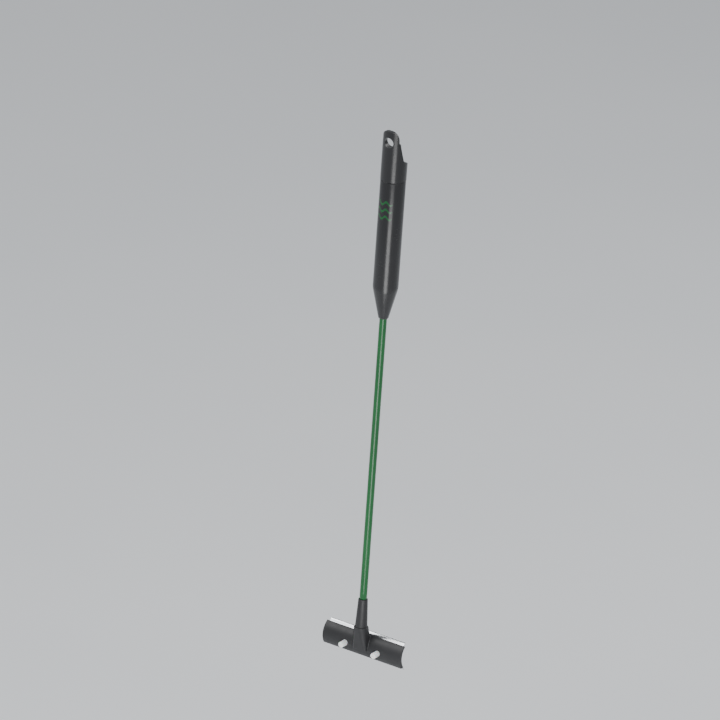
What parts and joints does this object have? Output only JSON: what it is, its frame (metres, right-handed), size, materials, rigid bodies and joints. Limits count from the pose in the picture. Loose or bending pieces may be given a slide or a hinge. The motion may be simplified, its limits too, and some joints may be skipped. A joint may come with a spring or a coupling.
{
  "type": "algae scraper",
  "caption": "Long-handled aquarium glass scraper: hollow grip with hanging cap, coated rod and a bowed holder that clamps a two-edged steel blade with thumb nuts.",
  "frame": {"origin": "centre of the hanging hole, at the middle of the tongue's wall", "axes": "+Z along the rod towards the grip, +X along the blade head, -Y out of the convex front that carries the thumb nuts"},
  "size_m": [0.075, 0.022, 0.4498],
  "materials": {
    "black_plastic": "moulded black ABS, semi-gloss",
    "green_coat": "green plastic coat over steel, glossy",
    "steel": "zinc plated steel",
    "stainless": "cold rolled stainless strip with ground edges",
    "white_nylon": "natural white nylon, satin",
    "brass": "turned brass",
    "grey_plastic": "grey moulded polyethylene"
  },
  "bodies": {
    "tool": {"hanger_cap": "black_plastic", "grip": "black_plastic", "grip_bush": "grey_plastic", "rod_pin": "steel", "rod_coating": "green_coat", "rod_tube": "steel", "rod_top_plug": "grey_plastic", "rod_bottom_plug": "grey_plastic", "neck": "black_plastic", "neck_screw": "stainless", "blade_holder": "black_plastic", "blade": "stainless", "clamp_strip": "stainless", "left_screw": "stainless", "right_screw": "stainless"},
    "left_carrier": {"left_washer": "stainless"},
    "left_thumb_nut": {"left_nut": "white_nylon", "left_insert": "brass"},
    "right_carrier": {"right_washer": "stainless"},
    "right_thumb_nut": {"right_nut": "white_nylon", "right_insert": "brass"}
  },
  "joints": [
    {"name": "left_nut_travel", "type": "slide", "parent": "tool", "child": "left_carrier", "axis": [0, -0.9976, -0.0698], "range_m": [0, 0.0045]},
    {"name": "left_nut_turn", "type": "hinge", "parent": "left_carrier", "child": "left_thumb_nut", "pos_m": [-0.0156, 0.00968, -0.43], "axis": [0, -0.9976, -0.0698], "range_deg": [0, 3241]},
    {"name": "right_nut_travel", "type": "slide", "parent": "tool", "child": "right_carrier", "axis": [0, -0.9976, -0.0698], "range_m": [0, 0.0045]},
    {"name": "right_nut_turn", "type": "hinge", "parent": "right_carrier", "child": "right_thumb_nut", "pos_m": [0.0156, 0.00968, -0.43], "axis": [0, -0.9976, -0.0698], "range_deg": [0, 3241]}
  ],
  "couplings": [
    {"joint": "left_nut_turn", "follows": "left_nut_travel", "rad_per_m": 12566},
    {"joint": "right_nut_turn", "follows": "right_nut_travel", "rad_per_m": 12566}
  ]
}
